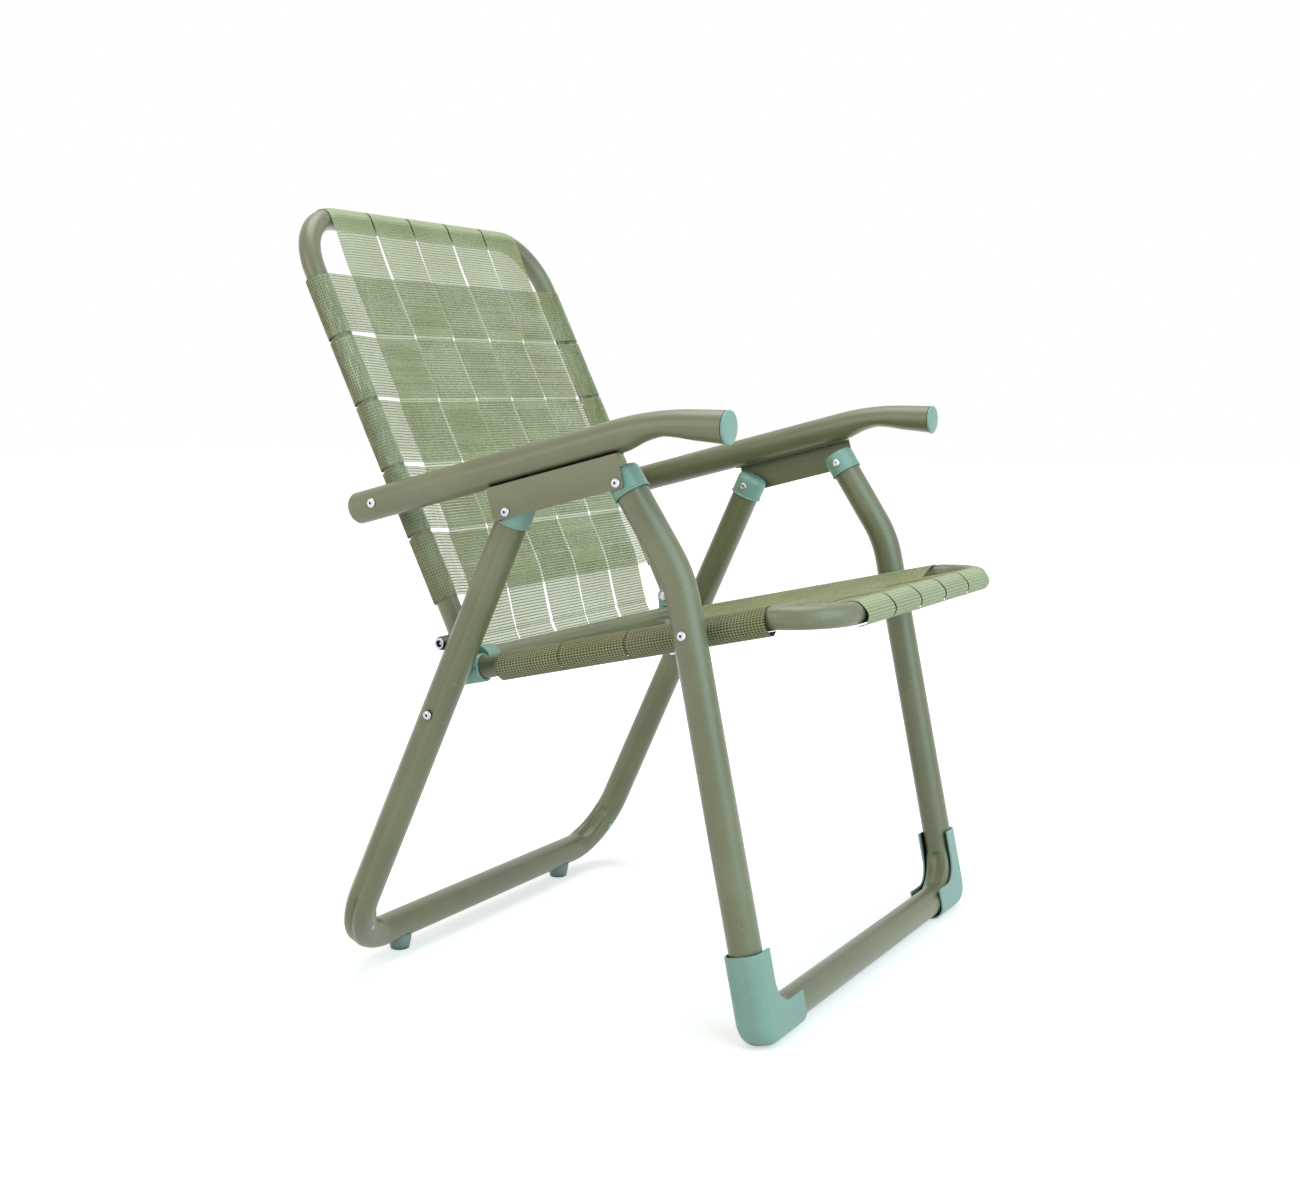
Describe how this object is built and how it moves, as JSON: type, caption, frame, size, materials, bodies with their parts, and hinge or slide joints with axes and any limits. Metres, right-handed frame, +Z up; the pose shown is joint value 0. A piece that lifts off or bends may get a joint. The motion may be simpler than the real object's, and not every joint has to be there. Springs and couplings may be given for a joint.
{
  "type": "folding webbed lawn chair",
  "caption": "Folding armchair of bent lacquered tube with a woven webbing seat and back, straight arms, capped legs, plastic front shoes and a fold that lays it flat.",
  "frame": {"origin": "on the floor, under the middle of the open chair's box", "axes": "+Z up, -Y the way the sitter faces, +X to the sitter's left"},
  "size_m": [0.5604, 0.6156, 0.7765],
  "materials": {
    "lacquered_tube": "satin",
    "mint_plastic": "satin",
    "bright_steel": "polished",
    "webbing": "woven"
  },
  "bodies": {
    "seat": {"seat_frame": "lacquered_tube", "cross_tube": "lacquered_tube", "corner_connector_left": "mint_plastic", "corner_connector_right": "mint_plastic", "hinge_pin_left": "bright_steel", "hinge_pin_right": "bright_steel", "stop_spacer_left": "lacquered_tube", "stop_spacer_right": "lacquered_tube", "seat_rivet_left": "bright_steel", "seat_rivet_right": "bright_steel", "seat_bush_left": "mint_plastic", "seat_bush_right": "mint_plastic", "seat_cross_strap_1": "webbing", "seat_cross_strap_2": "webbing", "seat_cross_strap_3": "webbing", "seat_cross_strap_4": "webbing", "seat_long_strap_1": "webbing", "seat_long_strap_2": "webbing", "seat_long_strap_3": "webbing", "seat_long_strap_4": "webbing", "seat_long_strap_5": "webbing"},
    "back": {"back_frame": "lacquered_tube", "arm_rivet_left": "bright_steel", "arm_rivet_right": "bright_steel", "arm_bush_left": "mint_plastic", "arm_bush_right": "mint_plastic", "back_cross_strap_1": "webbing", "back_cross_strap_2": "webbing", "back_cross_strap_3": "webbing", "back_cross_strap_4": "webbing", "back_cross_strap_5": "webbing", "back_long_strap_1": "webbing", "back_long_strap_2": "webbing", "back_long_strap_3": "webbing", "back_long_strap_4": "webbing", "back_long_strap_5": "webbing"},
    "arms": {"arm_left": "lacquered_tube", "arm_right": "lacquered_tube", "arm_cap_left": "mint_plastic", "arm_cap_right": "mint_plastic", "arm_bracket_left": "lacquered_tube", "arm_bracket_right": "lacquered_tube", "front_top_rivet_left": "bright_steel", "front_top_rivet_right": "bright_steel", "rear_top_rivet_left": "bright_steel", "rear_top_rivet_right": "bright_steel"},
    "front_legs": {"front_leg_frame": "lacquered_tube", "front_shoe_left": "mint_plastic", "front_shoe_right": "mint_plastic", "front_leg_cap_left": "mint_plastic", "front_leg_cap_right": "mint_plastic"},
    "rear_legs": {"rear_leg_frame": "lacquered_tube", "rear_foot_left": "mint_plastic", "rear_foot_right": "mint_plastic", "rear_leg_cap_left": "mint_plastic", "rear_leg_cap_right": "mint_plastic", "link_rivet_left": "bright_steel", "link_rivet_right": "bright_steel"},
    "links": {"rear_link_left": "bright_steel", "rear_link_right": "bright_steel"}
  },
  "joints": [
    {"name": "back_fold", "type": "hinge", "parent": "seat", "child": "back", "pos_m": [0, 0.09743, 0.345], "axis": [1, 0, 0], "range_deg": [0, 80]},
    {"name": "front_leg_fold", "type": "hinge", "parent": "seat", "child": "front_legs", "pos_m": [0, -0.17059, 0.36957], "axis": [1, 0, 0], "range_deg": [0, 80]},
    {"name": "arm_fold", "type": "hinge", "parent": "back", "child": "arms", "pos_m": [0, 0.1611, 0.47971], "axis": [1, 0, 0], "range_deg": [-80, 0]},
    {"name": "rear_leg_fold", "type": "hinge", "parent": "arms", "child": "rear_legs", "pos_m": [0, 0.01049, 0.47501], "axis": [1, 0, 0], "range_deg": [0, 43.2]},
    {"name": "link_fold", "type": "hinge", "parent": "seat", "child": "links", "pos_m": [0, 0.09743, 0.345], "axis": [1, 0, 0], "range_deg": [-97.14, 0]}
  ],
  "couplings": [
    {"joint": "front_leg_fold", "follows": "back_fold", "ratio": 1},
    {"joint": "arm_fold", "follows": "back_fold", "ratio": -1},
    {"joint": "rear_leg_fold", "follows": "back_fold", "ratio": 0.54},
    {"joint": "link_fold", "follows": "back_fold", "ratio": -1.2143}
  ]
}
